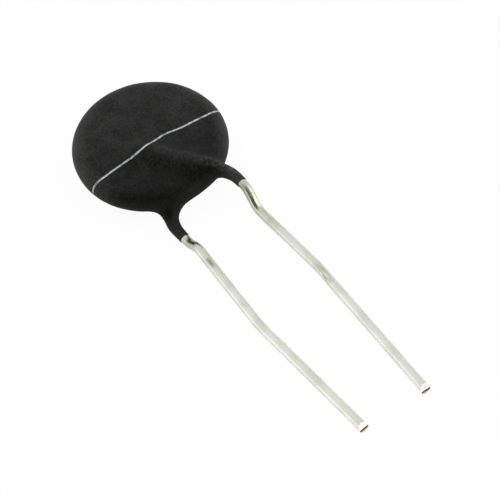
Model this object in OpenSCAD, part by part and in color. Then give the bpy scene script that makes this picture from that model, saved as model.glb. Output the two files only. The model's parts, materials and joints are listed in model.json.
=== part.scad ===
// Inrush current limiter: a disc thermistor with two radial wire leads, lying flat.
// The leads run toward -Y, X is the width across them, and the part lies on Z = 0.
// Each lead crosses one face of the ceramic disc under a lacquer coat, which runs
// down both leads and webs over to them. All sizes are in millimetres.

/* [Ceramic disc] */
// Diameter of the ceramic disc
disc_d = 15; // [12:0.5:18]
// Thickness of the ceramic disc
disc_t = 1.8; // [1.2:0.1:3]
// Bare ceramic left round the edge of each electrode
electrode_margin = 0.6; // [0.3:0.1:1.2]
// Thickness of the silver film on each face
electrode_t = 0.05; // [0.03:0.01:0.1]

/* [Leads] */
// Diameter of the wire
wire_d = 1; // [0.7:0.05:1.2]
// Distance between the two leads where they leave the coat
pitch = 7.5; // [6:0.25:9]
// Angle in degrees of each lead across its face
slant = 35; // [28:1:42]
// Length of each lead across its face, up to the corner near the rim
buried_l = 9.9; // [8:0.1:10.5]
// Radius of the bend near the rim
rim_bend_r = 4; // [2.5:0.25:5]
// Angle in degrees of the kink that brings each lead to the middle plane
kink_angle = 40; // [30:1:48]
// Radius of the bends in the kink
kink_r = 2.1; // [1.4:0.1:2.6]
// Straight wire between the end of the coat and the kink
kink_gap = 0.1; // [0.1:0.05:1]
// Radius of the slight bend halfway down each lead
bow_r = 14; // [8:1:30]
// How much the wire's radius swells where it is bent
swell = 0.01; // [0.005:0.005:0.02]

/* [Right lead] */
// How far beyond the rim of the coat its corner near the rim lies
right_corner_out = 0.75; // [0:0.05:1]
// Distance from the disc centre to the tip
right_reach = 39.7; // [34:0.1:50]
// Distance from the disc centre to the slight bend
right_bow_at = 22.6; // [19:0.1:28]
// Sideways offset at the foot of the kink, outward is positive
right_kink_out = -0.18; // [-0.2:0.01:0.2]
// Sideways offset at the slight bend
right_bow_out = 0.1; // [0:0.05:1.2]
// Sideways offset at the tip
right_tip_out = -0.9; // [-1.2:0.05:1.2]

/* [Left lead] */
// How far beyond the rim of the coat its corner near the rim lies
left_corner_out = 0.15; // [0:0.05:1]
// Distance from the disc centre to the tip
left_reach = 39.1; // [34:0.1:50]
// Distance from the disc centre to the slight bend
left_bow_at = 24.2; // [19:0.1:28]
// Sideways offset at the foot of the kink, outward is positive
left_kink_out = 0.19; // [-0.2:0.01:0.2]
// Sideways offset at the slight bend
left_bow_out = 1.05; // [0:0.05:1.2]
// Sideways offset at the tip
left_tip_out = 0.45; // [-1.2:0.05:1.2]

/* [Cut tips] */
// Height of the pinched edge below the middle of the wire
pinch_drop = 0.12; // [0:0.01:0.2]
// Angle in degrees of the upper facet from square
pinch_upper = 38; // [20:1:50]
// Angle in degrees of the lower facet from square
pinch_lower = 18; // [10:1:30]

/* [Solder] */
// Solder between the wire and the electrode
solder_film = 0.04; // [0.02:0.01:0.08]
// Solder over the wire
solder_cover = 0.12; // [0.08:0.01:0.2]
// Solder past the buried end of the wire
solder_tail = 0.4; // [0.2:0.05:0.6]
// Length over which the bead of solder rises at each end
solder_taper = 1; // [0.6:0.1:1.5]
// Bare electrode between the solder and the edge where the wire leaves the electrode
solder_inset = 0.8; // [0.5:0.1:2]

/* [Coat] */
// Coat round the edge of the disc
rim_cover = 0.75; // [0.5:0.05:1]
// Coat over the edge between the leads, where it drains away
drained_cover = 0.45; // [0.3:0.05:0.6]
// Coat over each face of the disc near its rim
face_cover = 0.3; // [0.3:0.05:0.6]
// How much thicker that coat is in the middle of the upper face
dome = 0.3; // [0:0.05:0.4]
// Coat over each buried lead
lead_cover = 0.2; // [0.15:0.01:0.4]
// Radius that rounds the rim
rim_round = 1.2; // [0.9:0.05:1.25]
// How far the coat runs down the leads past the rim
run_down = 2.45; // [2.2:0.05:4]
// Coat left round the wire where it ends
end_film = 0.07; // [0.05:0.01:0.15]
// Width over which the coat blends from the disc to the leads
web = 1.9; // [1.4:0.1:2.4]
// Length over which the coat thins down each leg
leg_taper = 2.2; // [1.5:0.1:3]

/* [Marking line] */
// Width of the printed line
line_w = 0.28; // [0.2:0.02:0.5]
// Thickness of the ink
line_t = 0.04; // [0.03:0.01:0.08]
// Clearance between the ink and the coat
line_gap = 0.04; // [0.03:0.01:0.06]

/* [Hidden] */
$fn = 64;

// Heights are counted from the middle plane of the disc until the part is placed
wire_r = wire_d / 2;
disc_r = disc_d / 2;
electrode_r = disc_r - electrode_margin;
lead_z = disc_t / 2 + electrode_t + solder_film + wire_r;
coat_r = disc_r + rim_cover;
coat_half = disc_t / 2 + electrode_t + face_cover;
coat_end = coat_r + run_down;
ridge_r = wire_r + lead_cover;
end_r = wire_r + end_film;

// Distances from the disc centre to the two corners of the kink
kink_head = coat_end + kink_gap + kink_r * tan(kink_angle / 2);
kink_foot = kink_head + lead_z / tan(kink_angle);

// Corner points of a lead on the right of the upper face: buried end, corner near the
// rim, head and foot of the kink, slight bend, tip. A turn about Y gives the left one.
function lead_points(corner_out, kink_out, bow_at, bow_out, reach, tip_out) = [
    [pitch / 2 - buried_l * sin(slant), buried_l * cos(slant) - coat_r - corner_out, lead_z],
    [pitch / 2, -coat_r - corner_out, lead_z],
    [pitch / 2, -kink_head, lead_z],
    [pitch / 2 + kink_out, -kink_foot, 0],
    [pitch / 2 + bow_out, -bow_at, 0],
    [pitch / 2 + tip_out, -reach, 0]
];

right_points = lead_points(
    right_corner_out, right_kink_out, right_bow_at, right_bow_out, right_reach, right_tip_out);
left_points = lead_points(
    left_corner_out, left_kink_out, left_bow_at, left_bow_out, left_reach, left_tip_out);
bend_radii = [0, rim_bend_r, kink_r, kink_r, bow_r, 0];

function turn_about_y(p) = [-p.x, p.y, -p.z];
function unit(v) = v / norm(v);

// Angle between the two straights that meet at corner i, and the wire it takes up
function heading(points, i) = unit(points[i + 1] - points[i]);
function bend_angle(points, i) = acos(heading(points, i - 1) * heading(points, i));
function bend_length(points, i) =
    i == 0 || i == len(points) - 1 ? 0 : bend_radii[i] * tan(bend_angle(points, i) / 2);

// Centre line of the coat round a lead: the buried straight, the bend and the leg
arc_steps = 4;
function leg_line(points) =
    let (start = points[1].y - bend_length(points, 1)) concat(
        [points[0]],
        [for (i = [0:arc_steps]) let (a = slant * (1 - i / arc_steps))
            [pitch / 2 - rim_bend_r * (1 - cos(a)), start + rim_bend_r * sin(a), lead_z]],
        [[pitch / 2, -coat_end - web, lead_z]]
    );
right_leg = leg_line(right_points);
left_leg = [for (p = leg_line(left_points)) turn_about_y(p)];

// Radius of the coat round a lead, from the ridge on the disc to the film down the leg
function ease(t) = let (c = min(max(t, 0), 1)) c * c * (3 - 2 * c);
function leg_r(y) = ridge_r + (end_r - ridge_r) * ease((-y - coat_r) / leg_taper);

// Distance from a point to a line of points, and to the rounded disc
drained_r = disc_r + drained_cover;
function span_distance(p, a, b) =
    let (d = b - a, t = min(max((p - a) * d / (d * d), 0), 1)) norm(p - a - t * d);
function line_distance(p, points) =
    min([for (i = [1:len(points) - 1]) span_distance(p, points[i - 1], points[i])]);
function disc_distance(p) =
    let (y = p.y > 0 ? p.y : p.y * coat_r / drained_r,
         r = norm([p.x, y]),
         swelling = p.z > 0 ? dome * (1 - min(r / coat_r, 1) ^ 2) : 0,
         half = coat_half + swelling)
    norm([max(r - coat_r + rim_round, 0), max(abs(p.z) - half + rim_round, 0)]) - rim_round;

// Smooth minimum: where two surfaces come within the web of each other it fills the corner
function blend(a, b) = let (h = max(web - abs(a - b), 0)) min(a, b) - h * h / (4 * web);

// The coat's surface is where this is zero, and inside the coat it is negative
function coat_field(p) =
    blend(disc_distance(p), min(line_distance(p, right_leg), line_distance(p, left_leg)) - leg_r(p.y));

// Distance from an inner point along a direction to the surface, found by halving
halvings = 13;
cast_reach = 3.2;
function cast(from, along, low, high, n = halvings) =
    let (mid = (low + high) / 2)
    n == 0 ? mid
    : coat_field(from + mid * along) < 0 ? cast(from, along, mid, high, n - 1)
    : cast(from, along, low, mid, n - 1);

// The coat's skin is a net drawn over a grid of cubes. Each cube that the surface passes
// through holds one point of the net, and each grid edge that it crosses is covered by the
// four points round it.
grid = 0.4;
margin = 2 * grid;

// The coat's surface closed off a little beyond the end of the coat, where it is cut
function net_field(p) = max(coat_field(p), -coat_end - margin - p.y);

nodes = [
    2 * ceil((coat_r + margin) / grid),
    ceil((coat_r + coat_end + 3 * margin) / grid),
    2 * ceil((lead_z + ridge_r + margin) / grid)
];
cells = nodes - [1, 1, 1];
grid_corner = [-cells.x * grid / 2, -coat_end - 2 * margin, -cells.z * grid / 2];
function grid_point(i, j, k) = grid_corner + grid * [i, j, k];

// Where the surface crosses the edge between two grid points
function crossing(p, q, fp, fq) = p + (q - p) * fp / (fp - fq);

// Middle of the crossings on the twelve edges of a cube
cube_corners = [for (i = [0, 1], j = [0, 1], k = [0, 1]) [i, j, k]];
cube_edges = [for (a = [0:7], b = [a + 1:7])
    if (norm(cube_corners[a] - cube_corners[b]) == 1) [a, b]];
function middle(values, corner) =
    let (cuts = [for (e = cube_edges) if ((values[e[0]] < 0) != (values[e[1]] < 0))
        crossing(cube_corners[e[0]], cube_corners[e[1]], values[e[0]], values[e[1]])])
    corner + grid * [for (axis = [0:2]) let (c = [for (q = cuts) q[axis]]) c * [for (q = c) 1] / len(c)];

// One step of a point toward the surface, along the steepest way
slope_step = 0.01;
function settle(p) =
    let (f = net_field(p),
         g = [for (d = [[1, 0, 0], [0, 1, 0], [0, 0, 1]])
             (net_field(p + slope_step * d) - f) / slope_step])
    p - g * f / (g * g);

// The two triangles of a four-sided patch, split across its shorter diagonal
function patch(points, q) =
    norm(points[q[0]] - points[q[2]]) < norm(points[q[1]] - points[q[3]])
    ? [[q[0], q[1], q[2]], [q[0], q[2], q[3]]]
    : [[q[1], q[2], q[3]], [q[1], q[3], q[0]]];

module coat_skin() {
    field = [for (i = [0:nodes.x - 1]) [for (j = [0:nodes.y - 1]) [for (k = [0:nodes.z - 1])
        net_field(grid_point(i, j, k))]]];
    cubes = [for (i = [0:cells.x - 1], j = [0:cells.y - 1], k = [0:cells.z - 1])
        let (values = [for (c = cube_corners) field[i + c.x][j + c.y][k + c.z]])
        min(values) < 0 && max(values) >= 0 ? middle(values, grid_point(i, j, k)) : undef];
    // Number of used cubes before each cube, which is the place of its point in the list
    is_used = [for (c = cubes) is_undef(c) ? 0 : 1];
    place_of = [for (n = 0, used = 0; n < len(cubes); used = used + is_used[n], n = n + 1) used];
    points = [for (c = cubes) if (!is_undef(c)) settle(c)];
    patches = [
        for (i = [1:cells.x - 1], j = [1:cells.y - 1], k = [1:cells.z - 1], axis = [0:2])
            let (step = [axis == 0 ? 1 : 0, axis == 1 ? 1 : 0, axis == 2 ? 1 : 0],
                 here = field[i][j][k] < 0,
                 next = field[i + step.x][j + step.y][k + step.z] < 0)
            if (here != next)
                let (u = [step.z, step.x, step.y],
                     v = [step.y, step.z, step.x],
                     ring = [for (c = [-u - v, -v, [0, 0, 0], -u])
                         place_of[((i + c.x) * cells.y + j + c.y) * cells.z + k + c.z]])
                here ? [ring[3], ring[2], ring[1], ring[0]] : ring
    ];
    difference() {
        polyhedron(points = points, faces = [for (q = patches) each patch(points, q)]);
        translate([-coat_r, -coat_end - coat_r, -coat_r]) cube([2 * coat_r, coat_r, 2 * coat_r]);
    }
}

// A closed skin over a list of rings with equally many points
module skin(rings) {
    n = len(rings[0]);
    last = len(rings) - 1;
    polyhedron(
        points = [for (r = rings) each r],
        faces = concat(
            [[for (j = [n - 1:-1:0]) j]],
            [for (i = [0:last - 1], j = [0:n - 1]) let (k = (j + 1) % n, a = i * n, b = a + n)
                each [[a + j, a + k, b + k], [a + j, b + k, b + j]]],
            [[for (j = [0:n - 1]) last * n + j]]
        )
    );
}

// A local frame with its origin at a point, its X along one direction and its Y along another
module place(at, x_axis, y_axis) {
    z_axis = cross(x_axis, y_axis);
    multmatrix([
        [x_axis.x, y_axis.x, z_axis.x, at.x],
        [x_axis.y, y_axis.y, z_axis.y, at.y],
        [x_axis.z, y_axis.z, z_axis.z, at.z],
        [0, 0, 0, 1]
    ]) children();
}

// Round bend at corner i of a lead, from the end of one straight to the start of the next
module bend(points, i) {
    before = heading(points, i - 1);
    after = heading(points, i);
    centre = points[i] + unit(after - before) * bend_radii[i] / cos(bend_angle(points, i) / 2);
    start = points[i] - before * bend_length(points, i);
    place(centre, unit(start - centre), before)
        rotate_extrude(angle = bend_angle(points, i))
            translate([bend_radii[i], 0]) circle(r = wire_r + swell);
}

// Straight round wire from one point to another
module straight(a, b) {
    along = unit(b - a);
    side = unit(cross(along, [1, 0, 0]));
    place(a, side, cross(along, side)) cylinder(h = norm(b - a), r = wire_r);
}

// The straight after corner i, which plugs a little way into the bend at each end. The
// last one runs on past the tip, for the pinch to cut.
plug = 0.06;
module span(points, i) {
    last = len(points) - 1;
    along = heading(points, i);
    before = i == 0 ? 0 : plug;
    after = i == last - 1 ? wire_r : plug;
    straight(
        points[i] + along * (bend_length(points, i) - before),
        points[i + 1] - along * (bend_length(points, i + 1) - after)
    );
}

// Room beyond a tip, bounded by two planes that meet in a pinched edge
module pinch(tip, along) {
    room = 2 * wire_d;
    place(tip - [0, 0, pinch_drop], unit(cross(along, [0, 0, 1])), along)
        rotate([90, 0, 90]) translate([0, 0, -room / 2]) linear_extrude(room) polygon([
            [0, 0], [-room * tan(pinch_upper), room], [room, room],
            [room, -room], [-room * tan(pinch_lower), -room]
        ]);
}

module wire(points) {
    last = len(points) - 1;
    difference() {
        union() {
            for (i = [0:last - 1]) span(points, i);
            for (i = [1:last - 1]) bend(points, i);
        }
        pinch(points[last], heading(points, last - 1));
    }
}

module lead(points) {
    color("gainsboro") wire(points);
}

// Length of wire over the electrode, from the buried end to the edge of the silver film
function flat(p) = [p.x, p.y];
function reach_in_circle(from, along, r) =
    let (b = from * along) sqrt(b * b - from * from + r * r) - b;
function wire_over_film(points) =
    reach_in_circle(flat(points[0]), flat(heading(points, 0)), electrode_r);

// Outside of the bead of solder: a turned bar with tapered ends, half sunk in the face
module bead_body(points) {
    along = heading(points, 0);
    length = wire_over_film(points) - solder_inset + solder_tail;
    bead_r = wire_d + solder_film + solder_cover;
    nose_r = wire_r;
    start = points[0] - along * solder_tail;
    intersection() {
        place([start.x, start.y, disc_t / 2 + electrode_t], [0, 0, -1], cross(along, [0, 0, -1]))
            rotate_extrude() polygon([
                [0, 0], [nose_r, 0], [bead_r, solder_taper],
                [bead_r, length - solder_taper], [nose_r, length], [0, length]
            ]);
        translate([-coat_r, -coat_r, disc_t / 2 + electrode_t]) cube(2 * coat_r);
    }
}

module solder_bead(points) {
    color("silver") difference() {
        bead_body(points);
        straight(points[0], points[1]);
    }
}

module electrode() {
    color("lightgray") translate([0, 0, disc_t / 2])
        cylinder(h = electrode_t, r = electrode_r);
}

module ceramic() {
    color("dimgray") translate([0, 0, -disc_t / 2]) cylinder(h = disc_t, r = disc_r);
}

module turned() {
    rotate([0, 180, 0]) children();
}

module coat() {
    color([0.13, 0.13, 0.13]) difference() {
        coat_skin();
        ceramic();
        electrode();
        turned() electrode();
        bead_body(right_points);
        turned() bead_body(left_points);
        wire(right_points);
        turned() wire(left_points);
    }
}

// Points of the printed line: across and along as shares of the coat's radius, and the lean
// in degrees of the ray that finds the coat, so that the line curls over the rim at both ends
line_path = [
    [-0.88, -0.145, -86], [-0.88, -0.138, -55], [-0.88, -0.136, -22], [-0.8, -0.138, 0],
    [-0.65, -0.13, 0], [-0.47, -0.13, 0], [-0.36, -0.156, 0], [-0.24, -0.165, 0],
    [-0.1, -0.14, 0], [0.02, -0.105, 0], [0.17, -0.093, 0], [0.39, -0.137, 0],
    [0.6, -0.154, 0], [0.79, -0.173, 0], [0.86, -0.18, 22], [0.86, -0.173, 60]
];
line_steps = 4;

// A smooth curve through those points, whose slope at each is set by the two beside it
function line_point(i) = line_path[min(max(i, 0), len(line_path) - 1)];
function line_slope(i) = (line_point(i + 1) - line_point(i - 1)) / 2;
function line_at(i, t) =
    line_point(i) * (1 - ease(t)) + line_point(i + 1) * ease(t)
    + (line_slope(i) * (1 - t) - line_slope(i + 1) * t) * t * (1 - t);
line_samples = concat(
    [for (i = [0:len(line_path) - 2], k = [0:line_steps - 1]) line_at(i, k / line_steps)],
    [line_path[len(line_path) - 1]]
);
function line_ring(s) =
    let (along = [sin(s.z), 0, cos(s.z)])
    [for (corner = [[-1, 0], [1, 0], [1, 1], [-1, 1]])
        let (from = [coat_r * s.x, coat_r * s.y + corner[0] * line_w / 2, 0])
        from + (cast(from, along, 0, cast_reach) + line_gap + corner[1] * line_t) * along];
module ink() {
    color("white") skin([for (s = line_samples) line_ring(s)]);
}

// The part lies on the ridge over the lower lead, so that ridge sets the middle plane's height
ridge_samples = 12;
rest_height = max([for (i = [0:ridge_samples])
    let (p = turn_about_y(left_points[0] + (left_points[1] - left_points[0]) * i / ridge_samples))
    cast([p.x, p.y, 0], [0, 0, -1], 0, cast_reach)]);
centre_y = (max(left_reach, right_reach) - coat_r) / 2;

module placed() {
    translate([0, centre_y, rest_height]) children();
}

module coating() {
    placed() coat();
}

module thermistor_disc() {
    placed() ceramic();
}

module electrode_top() {
    placed() electrode();
}

module electrode_bottom() {
    placed() turned() electrode();
}

module solder_top() {
    placed() solder_bead(right_points);
}

module solder_bottom() {
    placed() turned() solder_bead(left_points);
}

module lead_right() {
    placed() lead(right_points);
}

module lead_left() {
    placed() turned() lead(left_points);
}

module marking_line() {
    placed() ink();
}

coating();
thermistor_disc();
electrode_top();
electrode_bottom();
solder_top();
solder_bottom();
lead_right();
lead_left();
marking_line();
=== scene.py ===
# %% [markdown]
# # A disc thermistor on a white table
# An inrush current limiter is a ceramic disc with a tinned wire soldered across each face,
# dipped in black lacquer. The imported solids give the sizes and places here. This notebook
# makes the surfaces that the eye sees: the drained lacquer, the two wires with their cut
# tips and the printed line. It starts by loading the solids and noting their box.

# %% Load the frame
import json
import math
import bpy
from mathutils import Matrix, Vector

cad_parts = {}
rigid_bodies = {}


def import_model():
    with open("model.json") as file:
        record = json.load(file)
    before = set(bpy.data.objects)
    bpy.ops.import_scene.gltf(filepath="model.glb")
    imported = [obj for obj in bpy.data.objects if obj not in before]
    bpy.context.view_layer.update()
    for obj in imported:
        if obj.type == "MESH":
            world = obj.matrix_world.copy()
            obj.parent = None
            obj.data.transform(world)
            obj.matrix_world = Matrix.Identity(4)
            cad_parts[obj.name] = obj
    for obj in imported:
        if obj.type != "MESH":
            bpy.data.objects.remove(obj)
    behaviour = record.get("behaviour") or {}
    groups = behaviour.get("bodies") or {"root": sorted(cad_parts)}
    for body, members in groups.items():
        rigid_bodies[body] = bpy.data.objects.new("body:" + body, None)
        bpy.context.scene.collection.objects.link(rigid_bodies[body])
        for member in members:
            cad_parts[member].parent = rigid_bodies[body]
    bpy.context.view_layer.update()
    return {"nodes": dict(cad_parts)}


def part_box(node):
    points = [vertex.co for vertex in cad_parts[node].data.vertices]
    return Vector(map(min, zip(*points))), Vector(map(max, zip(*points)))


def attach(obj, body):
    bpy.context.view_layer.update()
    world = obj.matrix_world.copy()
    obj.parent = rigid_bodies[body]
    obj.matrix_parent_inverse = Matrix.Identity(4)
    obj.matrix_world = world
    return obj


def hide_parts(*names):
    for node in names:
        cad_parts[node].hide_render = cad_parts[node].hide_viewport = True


bpy.ops.object.select_all(action="SELECT")
bpy.ops.object.delete()
bpy.context.scene.view_settings.view_transform = "Standard"
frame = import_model()
nodes = frame["nodes"]
mm = 0.001


def in_mm(place):
    return [round(number / mm, 2) for number in place]


print("solids:", ", ".join(sorted(nodes)))

# %% [markdown]
# All places are counted from the middle of the ceramic disc, as the solids' own are. The
# disc lies level, its two wires run toward -Y, and the part rests on the ridge over its
# lower wire, so the middle of the disc is a little above the table.

# %% The middle of the disc
disc_low, disc_high = (Vector(corner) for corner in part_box("thermistor_disc"))
disc_middle = (disc_low + disc_high) / 2
print("middle of the disc in mm:", in_mm(disc_middle))

# %% [markdown]
# A few small helpers. An operator acts on all that is selected, so each step starts from
# one picked object and nothing else. Edit mode is entered with the whole mesh selected.

# %% Helpers for picking
def pick(piece):
    bpy.ops.object.select_all(action="DESELECT")
    piece.select_set(True)
    bpy.context.view_layer.objects.active = piece


def edit(piece):
    pick(piece)
    bpy.ops.object.mode_set(mode="EDIT")
    bpy.ops.mesh.select_all(action="SELECT")


def leave_edit():
    bpy.ops.object.mode_set(mode="OBJECT")


def shade_smooth(piece, sharpest_degrees):
    pick(piece)
    bpy.ops.object.shade_smooth_by_angle(angle=math.radians(sharpest_degrees))


print("helpers ready")

# %% [markdown]
# A material is a graph of nodes, and arithmetic on its values is easier to read as an
# expression. Value wraps one output and turns + - and * into Math nodes. Feed gives a
# socket what it should hold: a plain number, colour or vector, or a link.

# %% Shader arithmetic
def feed(tree, term, socket):
    if isinstance(term, Value):
        tree.links.new(term.socket, socket)
    else:
        socket.default_value = term


class Value:
    def __init__(self, tree, socket):
        self.tree = tree
        self.socket = socket

    def math(self, operation, first, second):
        node = self.tree.nodes.new("ShaderNodeMath")
        node.operation = operation
        feed(self.tree, first, node.inputs[0])
        feed(self.tree, second, node.inputs[1])
        return Value(self.tree, node.outputs[0])

    def __add__(self, other):
        return self.math("ADD", self, other)

    def __radd__(self, other):
        return self.math("ADD", other, self)

    def __sub__(self, other):
        return self.math("SUBTRACT", self, other)

    def __rsub__(self, other):
        return self.math("SUBTRACT", other, self)

    def __mul__(self, other):
        return self.math("MULTIPLY", self, other)

    def __rmul__(self, other):
        return self.math("MULTIPLY", other, self)


print("shader arithmetic ready")

# %% [markdown]
# Finish holds one material, or the world. Its node method adds any node: settings come
# first, then sockets by name, and by number where two sockets share a name, as on a Mix
# node, whose colours have the numbers below. The other methods are the few patterns that
# the finishes here are made of. Fade runs from one distance to another along a direction,
# both in millimetres from the disc's middle. They are true distances where the direction
# is 1 long, and multiplied by its length where it isn't.

# %% Finishes
mix_factor, mix_first, mix_second, mix_result = 0, 6, 7, 2


class Finish:
    def __init__(self, name, tree=None):
        if tree is None:
            self.material = bpy.data.materials.new(name)
            self.material.use_nodes = True
            tree = self.material.node_tree
        self.tree = tree
        self.tree.nodes.clear()

    def node(self, kind, settings=None, out=0, numbered=None, **named):
        node = self.tree.nodes.new(kind)
        for key, setting in (settings or {}).items():
            setattr(node, key, setting)
        for key, term in named.items():
            feed(self.tree, term, node.inputs[key.replace("_", " ")])
        for number, term in (numbered or {}).items():
            feed(self.tree, term, node.inputs[number])
        return Value(self.tree, node.outputs[out]) if node.outputs else None

    def place(self):
        return self.node("ShaderNodeTexCoord", out="Object")

    def stretched(self, factors):
        return self.node("ShaderNodeVectorMath", {"operation": "MULTIPLY"},
                         numbered={0: self.place(), 1: factors})

    def along(self, way, place=None):
        return self.node("ShaderNodeVectorMath", {"operation": "DOT_PRODUCT"}, out="Value",
                         numbered={0: place or self.place(), 1: way})

    def distance(self, point, place=None):
        return self.node("ShaderNodeVectorMath", {"operation": "DISTANCE"}, out="Value",
                         numbered={0: place or self.place(), 1: point})

    def noise(self, size, detail=2.0, roughness=0.5, place=None):
        return self.node("ShaderNodeTexNoise", out="Fac", Vector=place or self.place(),
                         Scale=1 / size, Detail=detail, Roughness=roughness)

    def range(self, value, low, high, to_low=0.0, to_high=1.0):
        return self.node("ShaderNodeMapRange", {"clamp": True}, Value=value, From_Min=low,
                         From_Max=high, To_Min=to_low, To_Max=to_high)

    def fade(self, way, first, last, to_first=0.0, to_last=1.0):
        start = way.dot(disc_middle)
        return self.range(self.along(way), start + first * mm, start + last * mm, to_first, to_last)

    def mix(self, factor, first, second):
        return self.node("ShaderNodeMix", {"data_type": "RGBA"}, out=mix_result,
                         numbered={mix_factor: factor, mix_first: first, mix_second: second})

    def bump(self, height, distance):
        return self.node("ShaderNodeBump", Height=height, Distance=distance, Strength=1.0)

    def surface(self, **sockets):
        shader = self.node("ShaderNodeBsdfPrincipled", out="BSDF", **sockets)
        self.node("ShaderNodeOutputMaterial", Surface=shader)
        return self.material


def tint(red, green, blue):
    return (red, green, blue, 1.0)


def grey(level):
    return tint(level, level, level)


print("finishes ready")

# %% [markdown]
# The camera stands where the photograph was taken from: beyond the tips of the wires and
# to the left of them, high up, so that it looks well down on the disc. A long lens gives
# the little perspective that shows, and the disc's middle lies at a known place in the
# picture.

# %% The camera
view_turn = math.radians(-35.242)
view_height = math.radians(56.191)
view_roll = math.radians(-3.572)
view_distance = 160.249 * mm
focal_pixels = 1536.0
picture_pixels = 500
disc_pixel = (151.007, 145.843)

toward_camera = Vector((
    math.sin(view_turn) * math.cos(view_height),
    -math.cos(view_turn) * math.cos(view_height),
    math.sin(view_height),
))
level_right = Vector((math.cos(view_turn), math.sin(view_turn), 0))
level_up = toward_camera.cross(level_right)
right = level_right * math.cos(view_roll) + level_up * math.sin(view_roll)
up = level_up * math.cos(view_roll) - level_right * math.sin(view_roll)
disc_right = (disc_pixel[0] - picture_pixels / 2) / focal_pixels * view_distance
disc_up = (picture_pixels / 2 - disc_pixel[1]) / focal_pixels * view_distance

camera_data = bpy.data.cameras.new("camera")
camera_data.sensor_width = 36
camera_data.lens = focal_pixels / picture_pixels * camera_data.sensor_width
camera_data.clip_start = 10 * mm
camera = bpy.data.objects.new("camera", camera_data)
bpy.context.scene.collection.objects.link(camera)
camera_place = disc_middle + toward_camera * view_distance - right * disc_right - up * disc_up
turn = Matrix((right, up, toward_camera)).transposed().to_4x4()
camera.matrix_world = Matrix.Translation(camera_place) @ turn
bpy.context.scene.camera = camera
print("lens in mm:", round(camera_data.lens, 1))

# %% [markdown]
# A product shot like this is taken on white. The table is a sheet of white paper. A real
# one would need much more light than the part to look so white, so this one glows for the
# camera, and lights the part as plain grey paper would. A few hundredths of its look stay
# plain paper, which keeps a faint shadow. It lies a hair under the solids' lowest point,
# because the lacquer's waves dip there.

# %% The table
table_width = 1.2
table_drop = 0.02 * mm
bpy.ops.object.select_all(action="DESELECT")
bpy.ops.mesh.primitive_plane_add(size=table_width, location=(0, 0, -table_drop))
table = bpy.context.active_object
table.name = "table"
bpy.ops.object.mode_set(mode="EDIT")
bpy.ops.mesh.subdivide(number_cuts=3)
leave_edit()

glow_share = 0.96
mirrored_share = 0.1
paper = Finish("table_paper")
glowing = (paper.node("ShaderNodeLightPath", out="Is Camera Ray") * glow_share
           + paper.node("ShaderNodeLightPath", out="Is Glossy Ray") * mirrored_share
           + paper.node("ShaderNodeLightPath", out="Is Transmission Ray") * glow_share)
matte = paper.node("ShaderNodeBsdfDiffuse", Color=grey(0.72))
white = paper.node("ShaderNodeEmission", Color=grey(1.0), Strength=1.0)
sheet = paper.node("ShaderNodeMixShader", numbered={0: glowing, 1: matte, 2: white})
paper.node("ShaderNodeOutputMaterial", Surface=sheet)
table.data.materials.append(paper.material)
print("table is", table_width, "m wide")

# %% [markdown]
# The world is a light tent, brighter on the left. Bright metal shows mostly what it
# mirrors, so the tent has three patches. A dark olive opening at the left front draws the
# dark streak on the right wire's kink, a bright window at the right front draws the white
# band beside it, and a low glow on the left brightens the wires' flanks. Each patch fades
# with the angle from its middle, so its edge is soft.

# %% The tent
left_level, right_level = 0.89, 0.71
opening_dark = 0.91
low_glow = 0.45
window_glow = 0.9

world = bpy.data.worlds.new("tent")
world.use_nodes = True
bpy.context.scene.world = world
tent = Finish("tent", world.node_tree)
outward = tent.node("ShaderNodeTexCoord", out="Generated")


def tent_patch(middle, edge, core):
    return tent.range(tent.along(Vector(middle).normalized(), outward), edge, core)


side_light = tent.range(tent.along((1, 0, 0), outward), -0.8, 0.8, left_level, right_level)
height = tent.along((0, 0, 1), outward)
opening = tent_patch((-0.50, -0.60, 0.62), 0.66, 0.78) * tent.range(height, 0.05, 0.25)
glow = tent.range(height, 0.05, 0.40, low_glow, 0.0) * tent_patch((-1, 0, 0), 0.3, 0.8)
window = tent_patch((0.70, -0.60, 0.38), 0.70, 0.86) * window_glow
strength = (side_light + glow + window) * (1 - opening * opening_dark)
sky_colour = tent.mix(opening, tint(1.0, 1.0, 0.99), tint(1.0, 1.05, 0.62))
sky = tent.node("ShaderNodeBackground", Color=sky_colour, Strength=strength)
tent.node("ShaderNodeOutputWorld", Surface=sky)
print("tent ready, with an opening, a window and a glow")

# %% [markdown]
# Two lamps help the tent. A large soft one overhead lights the paper and the part. It
# isn't mirrored, or a white square would lie on the lacquer. A small one low in front
# lights the facets at the wires' tips, which face away from the large one.

# %% The lamps
def soft_lamp(name, width, watts, place, facing):
    light = bpy.data.lights.new(name, "AREA")
    light.size = width
    light.energy = watts
    lamp = bpy.data.objects.new(name, light)
    bpy.context.scene.collection.objects.link(lamp)
    lamp.location = place
    lamp.rotation_euler = facing.to_track_quat("-Z", "Y").to_euler()
    return lamp


overhead_place = Vector((-0.08, 0.12, 0.40))
overhead = soft_lamp("overhead", 0.30, 0.95, overhead_place, disc_middle - overhead_place)
overhead.visible_glossy = False
fill_place = disc_middle + Vector((25, -82, 22)) * mm
fill = soft_lamp("fill", 30 * mm, 0.008, fill_place, Vector((-0.26, 0.87, -0.4)))
print("lamps ready:", overhead.name, fill.name)

# %% [markdown]
# Each lead is one tinned copper wire. It is soldered along a face of the disc, leaves the
# rim, kinks to the disc's middle plane and runs on with one slight bow. A wire is easy to
# make by hand: a ring is pushed along each straight and spun round each bend. The corners
# below are the wire's own, in millimetres from the disc's middle, and each has its bend
# radius.

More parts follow.
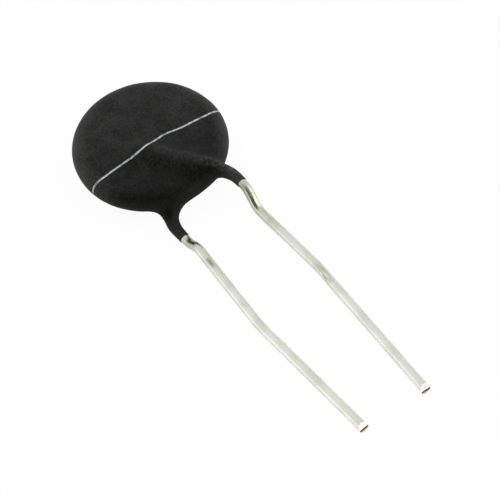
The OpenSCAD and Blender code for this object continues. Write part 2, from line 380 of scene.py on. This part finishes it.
# %% The route of each wire
wire_r = 0.5 * mm
bend_radii = [0, 4 * mm, 2.1 * mm, 2.1 * mm, 14 * mm, 0]
right_corners = [
    (-1.928, -0.890, 1.49), (3.75, -9.0, 1.49), (3.75, -11.564, 1.49),
    (3.57, -13.34, 0), (3.85, -22.6, 0), (2.85, -39.7, 0),
]
left_corners = [
    (1.928, -0.290, -1.49), (-3.75, -8.4, -1.49), (-3.75, -11.564, -1.49),
    (-3.94, -13.34, 0), (-4.8, -24.2, 0), (-4.2, -39.1, 0),
]
ring_sides = 32
ring_gap = 0.25 * mm
print("corners of each wire:", len(right_corners), len(left_corners))

# %% [markdown]
# Extruding the ring moves it straight on, and the spin operator carries it round a bend
# about the point where the bend has its middle. The last step closes both ends and turns
# all the faces outward, because a spin can leave them the wrong way round.

# %% Push and spin the wires
def push_ring(along):
    steps = max(1, round(along.length / ring_gap))
    for step in range(steps):
        bpy.ops.mesh.extrude_region_move(TRANSFORM_OT_translate={"value": along / steps})


def spin_ring(corner, before, after, radius):
    fewest_steps = 3
    angle = before.angle(after)
    middle = corner + (after - before).normalized() * radius / math.cos(angle / 2)
    steps = max(fewest_steps, round(angle * radius / ring_gap))
    axis = after.cross(before).normalized()
    bpy.ops.mesh.spin(steps=steps, angle=angle, center=middle, axis=axis)


def wire_along(name, corners):
    points = [disc_middle + Vector(corner) * mm for corner in corners]
    headings = [(b - a).normalized() for a, b in zip(points, points[1:])]
    bpy.ops.object.select_all(action="DESELECT")
    bpy.ops.mesh.primitive_circle_add(vertices=ring_sides, radius=wire_r, location=points[0],
                                      rotation=headings[0].to_track_quat("Z", "Y").to_euler())
    wire = bpy.context.active_object
    wire.name = wire.data.name = name
    bpy.ops.object.transform_apply(location=True, rotation=True, scale=True)
    edit(wire)
    here = points[0]
    for i in range(1, len(points) - 1):
        reach = bend_radii[i] * math.tan(headings[i - 1].angle(headings[i]) / 2)
        push_ring(points[i] - headings[i - 1] * reach - here)
        spin_ring(points[i], headings[i - 1], headings[i], bend_radii[i])
        here = points[i] + headings[i] * reach
    push_ring(points[-1] + headings[-1] * wire_r - here)
    bpy.ops.mesh.select_all(action="SELECT")
    bpy.ops.mesh.fill_holes(sides=0)
    bpy.ops.mesh.normals_make_consistent(inside=False)
    leave_edit()
    print(name, "has", len(wire.data.polygons), "faces")
    return wire, points[-1], headings[-1]


right_wire, right_tip, right_heading = wire_along("wire_right", right_corners)
left_wire, left_tip, left_heading = wire_along("wire_left", left_corners)

# %% [markdown]
# Side cutters press into a wire until it parts. That leaves a long sloping facet with tin
# smeared over it, a torn band that is dark partly from painted shade, and a short steep
# facet of bare copper. Three bisects make them, from the top of the wire down, and each new
# face gets a material slot. The rows below say how high over the tip's middle a cut passes,
# how far along the wire, at how many degrees to a square cut, and which slot its face gets.

# %% The cut tips
slot_count = 4
skin_slot, tin_slot, copper_slot, torn_slot = range(slot_count)
tip_cuts = [
    (0.06 * mm, -0.115 * mm, 40, tin_slot),
    (-0.18 * mm, -0.028 * mm, 20, torn_slot),
    (-0.5 * mm, 0, 5, copper_slot),
]
merge_gap = 0.0005 * mm
same_way = 0.999


def cut(piece, place, facing_way):
    edit(piece)
    bpy.ops.mesh.bisect(plane_co=place, plane_no=facing_way, use_fill=True, clear_outer=True,
                        threshold=merge_gap)
    leave_edit()


def cut_tip(wire, tip, heading):
    for slot in range(slot_count):
        wire.data.materials.append(None)
    across = heading.cross(Vector((0, 0, 1))).normalized()
    for rise, beyond, slope, slot in tip_cuts:
        place = tip + Vector((0, 0, rise)) + heading * beyond
        facing_way = Matrix.Rotation(math.radians(slope), 3, across) @ heading
        cut(wire, place, facing_way)
        for face in wire.data.polygons:
            at_tip = (face.center - tip).length < 2 * wire_r
            if at_tip and abs(face.normal.dot(facing_way)) > same_way:
                face.material_index = slot
    slots = [face.material_index for face in wire.data.polygons]
    print(wire.name, "tip faces:", [slot for slot in slots if slot != skin_slot])


cut_tip(right_wire, right_tip, right_heading)
cut_tip(left_wire, left_tip, left_heading)

# %% [markdown]
# Hot dipped tin is never quite even: it lies on the wire in long shallow lumps. A Displace
# modifier with a soft cloud pattern moves the skin by a few hundredths of a millimetre.

# %% Lumps in the tin
def apply_modifiers(piece):
    pick(piece)
    for modifier in list(piece.modifiers):
        bpy.ops.object.modifier_apply(modifier=modifier.name)


def clouds(name, size):
    pattern = bpy.data.textures.new(name, "CLOUDS")
    pattern.noise_scale = size
    pattern.noise_depth = 1
    return pattern


def displace(piece, pattern, depth, group=""):
    modifier = piece.modifiers.new("lumps", "DISPLACE")
    modifier.texture = pattern
    modifier.texture_coords = "LOCAL"
    modifier.strength = depth
    modifier.mid_level = 0.5
    modifier.vertex_group = group
    apply_modifiers(piece)


lump_size = 1.1 * mm
lump_depth = 0.02 * mm
tin_lumps = clouds("tin_lumps", lump_size)
for wire in (right_wire, left_wire):
    displace(wire, tin_lumps, lump_depth)
    shade_smooth(wire, 25)
print("wires are", round(2 * wire_r / mm, 2), "mm thick")

# %% [markdown]
# The lacquer and the printed line start from copies of their solids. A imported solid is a
# mesh of loose triangles, so a copy is merged first. Its faces are then picked by a rule
# on their place or the way they face, which is a small function that says yes or no.

# %% Copies of the solids
def working_copy(node, name):
    piece = bpy.data.objects.new(name, nodes[node].data.copy())
    bpy.context.scene.collection.objects.link(piece)
    piece.data.name = name
    edit(piece)
    bpy.ops.mesh.customdata_custom_splitnormals_clear()
    bpy.ops.mesh.remove_doubles(threshold=merge_gap)
    leave_edit()
    return piece


def select_faces(piece, rule):
    edit(piece)
    bpy.ops.mesh.select_mode(type="FACE")
    bpy.ops.mesh.select_all(action="DESELECT")
    leave_edit()
    for face in piece.data.polygons:
        face.select = rule(face)
    count = sum(face.select for face in piece.data.polygons)
    bpy.ops.object.mode_set(mode="EDIT")
    return count


coat = working_copy("coating", "lacquer_coat")
line = working_copy("marking_line", "printed_line")
print("merged copies:", len(coat.data.vertices), "and", len(line.data.vertices), "points")

# %% [markdown]
# The lacquer drained and dried, so it has no hard edge but the cut end on each leg. The
# solid's skin is made of small flat facets. Before they can be smoothed, the copy loses
# the faces on the cut ends and its inner cavity, and its legs are drawn out a little, so
# that smoothing won't round the ends that show.

# %% The outer skin of the lacquer
end_slack = 0.001 * mm
leg_margin = 1.0 * mm
coat_end = Vector(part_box("coating")[0]).y
ends = select_faces(coat, lambda face: abs(face.center.y - coat_end) < end_slack)
print("faces on the cut ends:", ends)
bpy.ops.mesh.delete(type="FACE")
leave_edit()
farthest = max(face.center.y for face in coat.data.polygons)
select_faces(coat, lambda face: face.center.y == farthest)
bpy.ops.mesh.select_linked()
bpy.ops.mesh.select_all(action="INVERT")
bpy.ops.mesh.delete(type="FACE")
bpy.ops.mesh.select_mode(type="EDGE")
bpy.ops.mesh.select_non_manifold()
bpy.ops.mesh.extrude_region_move(TRANSFORM_OT_translate={"value": (0, -leg_margin, 0)})
bpy.ops.mesh.select_all(action="SELECT")
bpy.ops.mesh.fill_holes(sides=0)
bpy.ops.mesh.quads_convert_to_tris()
bpy.ops.mesh.normals_make_consistent(inside=False)
leave_edit()
print("outer skin:", len(coat.data.polygons), "faces")

# %% [markdown]
# A voxel remesh turns the skin into even squares, and a Smooth modifier melts the facets.
# Smoothing also draws the skin in by a hair, so a Displace modifier without a pattern
# pushes it out again. One cut then gives both legs their crisp ends back.

# %% Smooth the skin and cut its ends
square_size = 0.12 * mm
drawn_in = 0.025 * mm
coat.data.remesh_voxel_size = square_size
coat.data.remesh_voxel_adaptivity = 0
pick(coat)
bpy.ops.object.voxel_remesh()
smoother = coat.modifiers.new("melt the facets", "SMOOTH")
smoother.factor = 0.5
smoother.iterations = 12
regain = coat.modifiers.new("regain the film", "DISPLACE")
regain.strength = drawn_in
regain.mid_level = 0
apply_modifiers(coat)
cut(coat, (0, coat_end, 0), (0, -1, 0))
print("smoothed skin:", len(coat.data.polygons), "faces")

# %% [markdown]
# Lacquer that has drained and dried is faintly wavy. The waves belong to the thick coat on
# the disc and fade out down the thin film on the legs, so a vertex group holds them there.

# %% Waves in the lacquer
wave_size = 2.6 * mm
wave_depth = 0.05 * mm
fade_length = 1.5 * mm
legs_start = disc_low.y
thick = coat.vertex_groups.new(name="thick_coat")
for vertex in coat.data.vertices:
    share = (vertex.co.y - legs_start + fade_length) / fade_length
    thick.add([vertex.index], min(max(share, 0), 1), "REPLACE")
displace(coat, clouds("lacquer_waves", wave_size), wave_depth, "thick_coat")
shade_smooth(coat, 35)
coat.data.materials.clear()
print("box of the coat in mm:", in_mm(coat.bound_box[0]), in_mm(coat.bound_box[6]))

# %% [markdown]
# The printed line is ink that lies on the lacquer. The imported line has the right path, and
# is a little wider than the real one. Its upper faces are kept, an inset trims both edges,
# and the strip that is left is divided, laid onto the smooth skin by a Shrinkwrap modifier
# and given a thin body by Solidify.

# %% The printed line
steepest = 0.6
trimmed_edge = 0.04 * mm
ink_clearance = 0.01 * mm
ink_depth = 0.02 * mm


def is_hidden(face):
    return face.normal.dot(face.center - disc_middle) < 0 or abs(face.normal.y) > steepest


print("faces taken off:", select_faces(line, is_hidden), "of", len(line.data.polygons))
bpy.ops.mesh.delete(type="FACE")
bpy.ops.mesh.select_all(action="SELECT")
bpy.ops.mesh.inset(thickness=trimmed_edge)
bpy.ops.mesh.select_all(action="INVERT")
bpy.ops.mesh.delete(type="FACE")
bpy.ops.mesh.select_all(action="SELECT")
bpy.ops.mesh.subdivide(number_cuts=2)
leave_edit()
lay = line.modifiers.new("lay on the lacquer", "SHRINKWRAP")
lay.target = coat
lay.wrap_method = "NEAREST_SURFACEPOINT"
lay.wrap_mode = "ABOVE_SURFACE"
lay.offset = ink_clearance
body = line.modifiers.new("ink thickness", "SOLIDIFY")
body.thickness = ink_depth
body.offset = 1
apply_modifiers(line)
shade_smooth(line, 40)
line.data.materials.clear()
print("line:", len(line.data.polygons), "faces")

# %% [markdown]
# The lacquer is a filled resin: almost black, dull, with faint cloudy patches and a very
# fine grain. Most of the grey that shows is the tent, mirrored weakly in the dull surface,
# so the resin's own colour is kept near black and its reflection low. Painted shade makes
# it darkest toward the legs, and on the far half it is a little greyer.

# %% Body of the lacquer
lacquer = Finish("black_lacquer")
patches = lacquer.noise(1.7 * mm, detail=3.0)
grain = lacquer.noise(0.2 * mm, detail=3.0, roughness=0.65)
spots = lacquer.range(patches * 0.3 + grain * 0.7, 0.40, 0.60)
# painted shade: the colour darkens toward the legs and is greyer on the far half
painted_shade_fade = lacquer.fade(Vector((0.25, 1, 0)), -7.5, 2.5)
painted_shade_colour = lacquer.mix(lacquer.range(spots, 0.4, 1.0), grey(0.0), grey(0.006))
far_half_colour = lacquer.mix(spots, grey(0.005), grey(0.022))
shaded_body_colour = lacquer.mix(painted_shade_fade, painted_shade_colour, far_half_colour)
# the body colour runs from painted shade at the legs to the greyer far half
print("lacquer: body colour from thick to drained")

# %% [markdown]
# Paler places on the lacquer are painted highlights: on the rim of the far half, toward
# the end of each leg, and along the crest of the ridge that the upper wire makes. The ridge
# passes 1.6 mm from the disc's middle. Its painted highlight is stronger toward the leg,
# and a noise breaks it into specks.

# %% Painted highlights on the lacquer
# painted highlights toward the end of each leg
right_leg_painted_sheen = lacquer.fade(Vector((0.6, -1, 0)), 9.5, 12, 0.0, 0.7)
left_leg_painted_sheen = lacquer.fade(Vector((-0.6, -1, 0)), 10, 12.5, 0.0, 0.35)

flat = Vector((1, 1, 0))
from_axis = lacquer.distance(disc_middle * flat, lacquer.stretched(flat))
# painted sheen on the rim of the far half
painted_rim_sheen = lacquer.range(from_axis, 6.5 * mm, 8.1 * mm) * lacquer.range(painted_shade_fade, 0.15, 0.5)

ridge_turn = math.radians(35)
across_ridge = Vector((math.cos(ridge_turn), math.sin(ridge_turn), 0))
along_ridge = Vector((math.sin(ridge_turn), -math.cos(ridge_turn), 0))
crest_place = -1.6
highlight_specks = lacquer.noise(0.35 * mm, detail=3.0, roughness=0.6)
# painted highlight along the ridge's crest, broken into specks
painted_crest_highlight = (lacquer.fade(across_ridge, crest_place - 1.0, crest_place - 0.4)
         * lacquer.fade(across_ridge, crest_place + 0.2, crest_place + 0.9, 1.0, 0.0)
         * lacquer.fade(along_ridge, -1, 9, 0.1, 0.6)
         * lacquer.range(highlight_specks, 0.40, 0.60, 0.1, 1.0))

# all the painted highlights on the lacquer, in a paler colour
painted_sheen_share = painted_rim_sheen * 0.6 + (left_leg_painted_sheen + right_leg_painted_sheen) + painted_crest_highlight
painted_sheen_colour = lacquer.mix(spots, grey(0.026), grey(0.056))
black_lacquer = lacquer.surface(
    Base_Color=lacquer.mix(painted_sheen_share, shaded_body_colour, painted_sheen_colour),
    Roughness=lacquer.range(grain, 0.35, 0.65, 0.48, 0.62),
    Specular_IOR_Level=0.16, Normal=lacquer.bump(grain, 0.03 * mm))
print("lacquer: pale on the rim, the legs and the ridge")

# %% [markdown]
# Tin on copper is a warm, slightly green silver, duller near the disc, where the wire was
# bent and handled. It is satin and not mirror bright, with small pits and faint drawing
# marks along the wire. The marks are noise on coordinates that are squeezed along Y, so
# that each speck becomes a streak along the wire. A few dark olive streaks are painted
# reflections, darker and duller than the tin around them. Each has its place from the
# disc's middle and its radius, in millimetres.

# %% Tinned wire
# painted dark reflections on the tin: place and radius of each
painted_dark_reflections = [((3.32, -11.8, 1.5), 0.8), ((3.29, -14.9, 0.4), 0.6), ((3.48, -23.8, 0.35), 0.8),
          ((-4.22, -15.8, 0.45), 0.45)]
reflection_core = 0.3
reflection_squeeze = Vector((1, 0.5, 1))


def painted_reflection_share(tin):
    near = 0
    for place, radius in painted_dark_reflections:
        middle = (disc_middle + Vector(place) * mm) * reflection_squeeze
        off_middle = tin.distance(middle, tin.stretched(reflection_squeeze))
        near = near + tin.range(off_middle, reflection_core * radius * mm, radius * mm, 1, 0)
    streaks = tin.noise(0.4 * mm, detail=2.0, place=tin.stretched((1, 0.18, 1)))
    return near * tin.range(streaks, 0.40, 0.58) * 0.7


def tinned(name, rough_low, rough_high):
    tin = Finish(name)
    marks = tin.noise(0.16 * mm, detail=3.0, roughness=0.6, place=tin.stretched((1, 0.14, 1)))
    pits = tin.noise(0.35 * mm, detail=2.0)
    tarnish = tin.noise(2.2 * mm, detail=2.0)
    shade = tin.range(tarnish * 0.6 + marks * 0.4, 0.41, 0.59)
    fresh = tin.mix(shade, tint(0.81, 0.82, 0.74), tint(0.93, 0.94, 0.87))
    worked = tin.mix(shade, tint(0.63, 0.65, 0.52), tint(0.78, 0.80, 0.67))
    clean = tin.mix(tin.fade(Vector((0, -1, 0)), 12, 22), worked, fresh)
    # dark olive painted reflections, duller too
    painted_reflection = painted_reflection_share(tin)
    return tin.surface(
        Base_Color=tin.mix(painted_reflection, clean, tint(0.33, 0.35, 0.20)), Metallic=1.0,
        Roughness=tin.range(marks, 0.3, 0.7, rough_low, rough_high) + painted_reflection * 0.4,
        Normal=tin.bump(marks * 0.3 + pits * 0.7, 0.007 * mm))


wire_tin = tinned("wire_tin", 0.24, 0.34)
smeared_tin = tinned("smeared_tin", 0.45, 0.55)
print("tin finishes:", wire_tin.name, smeared_tin.name)

# %% [markdown]
# Where the cutters went through, the wire shows copper, and the torn line between the two
# facets is dark, partly from painted shade.

# %% Cut copper
def cut_metal(name, dark, light, roughness):
    metal = Finish(name)
    tearing = metal.noise(0.08 * mm, detail=2.0)
    return metal.surface(Base_Color=metal.mix(tearing, dark, light), Metallic=1.0,
                         Roughness=roughness, Normal=metal.bump(tearing, 0.01 * mm))


cut_copper = cut_metal("cut_copper", tint(0.75, 0.48, 0.38), tint(0.92, 0.70, 0.60), 0.45)
# the torn band's near-black colour is partly painted shade
torn_edge_painted_shade = cut_metal("torn_edge_painted_shade", tint(0.08, 0.045, 0.03), tint(0.20, 0.12, 0.09), 0.6)
print("cut metal finishes:", cut_copper.name, torn_edge_painted_shade.name)

# %% [markdown]
# The ink is a pale blue grey. It went on thinly, so the black shows through it in patches,
# and a soft noise between a dark and a light grey is enough for that.

# %% Printing ink
ink = Finish("pale_ink")
ink_patches = ink.noise(0.5 * mm, detail=3.0)
ink_cover = ink.range(ink_patches, 0.35, 0.65)
pale_ink = ink.surface(
    Base_Color=ink.mix(ink_cover, tint(0.16, 0.17, 0.175), tint(0.45, 0.48, 0.49)),
    Roughness=0.7, Normal=ink.bump(ink_patches, 0.01 * mm))
print("ink finish:", pale_ink.name)

# %% [markdown]
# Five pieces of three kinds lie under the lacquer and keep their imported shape: the
# sintered ceramic, the fired silver films and the solder. They get finishes too, for
# whoever takes the coat off.

# %% Finishes under the lacquer
ceramic = Finish("sintered_ceramic")
crystals = ceramic.noise(0.12 * mm, detail=4.0, roughness=0.7)
sintered_ceramic = ceramic.surface(
    Base_Color=ceramic.mix(crystals, tint(0.05, 0.048, 0.045), tint(0.12, 0.115, 0.11)),
    Roughness=0.75, Normal=ceramic.bump(crystals, 0.008 * mm))

silver = Finish("fired_silver")
film = silver.noise(0.2 * mm, detail=4.0, roughness=0.65)
fired_silver = silver.surface(
    Base_Color=silver.mix(film, tint(0.72, 0.70, 0.66), tint(0.86, 0.85, 0.82)), Metallic=1.0,
    Roughness=silver.range(film, 0.3, 0.7, 0.5, 0.65), Normal=silver.bump(film, 0.004 * mm))

solder = Finish("bright_solder")
flow = solder.noise(0.6 * mm, detail=2.0)
bright_solder = solder.surface(
    Base_Color=solder.mix(flow, tint(0.60, 0.60, 0.60), tint(0.72, 0.72, 0.71)), Metallic=1.0,
    Roughness=solder.range(flow, 0.3, 0.7, 0.2, 0.35), Normal=solder.bump(flow, 0.01 * mm))

for node_name, finish in (("thermistor_disc", sintered_ceramic), ("electrode_top", fired_silver),
                          ("electrode_bottom", fired_silver), ("solder_top", bright_solder),
                          ("solder_bottom", bright_solder)):
    nodes[node_name].material_slots[0].material = finish
print("inner parts finished")

# %% [markdown]
# Last, each new piece gets its finish and rides on the part's one body, and the solid it
# stands for is hidden.

# %% Dress the pieces and hide the solids
coat.data.materials.append(black_lacquer)
line.data.materials.append(pale_ink)
for wire in (right_wire, left_wire):
    for slot, finish in enumerate((wire_tin, smeared_tin, cut_copper, torn_edge_painted_shade)):
        wire.data.materials[slot] = finish

for piece, node_name, slot in ((coat, "coating", "coat"), (line, "marking_line", "ink"),
                               (right_wire, "lead_right", "tinned_wire"),
                               (left_wire, "lead_left", "tinned_wire")):
    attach(piece, "root")
    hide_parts(node_name)
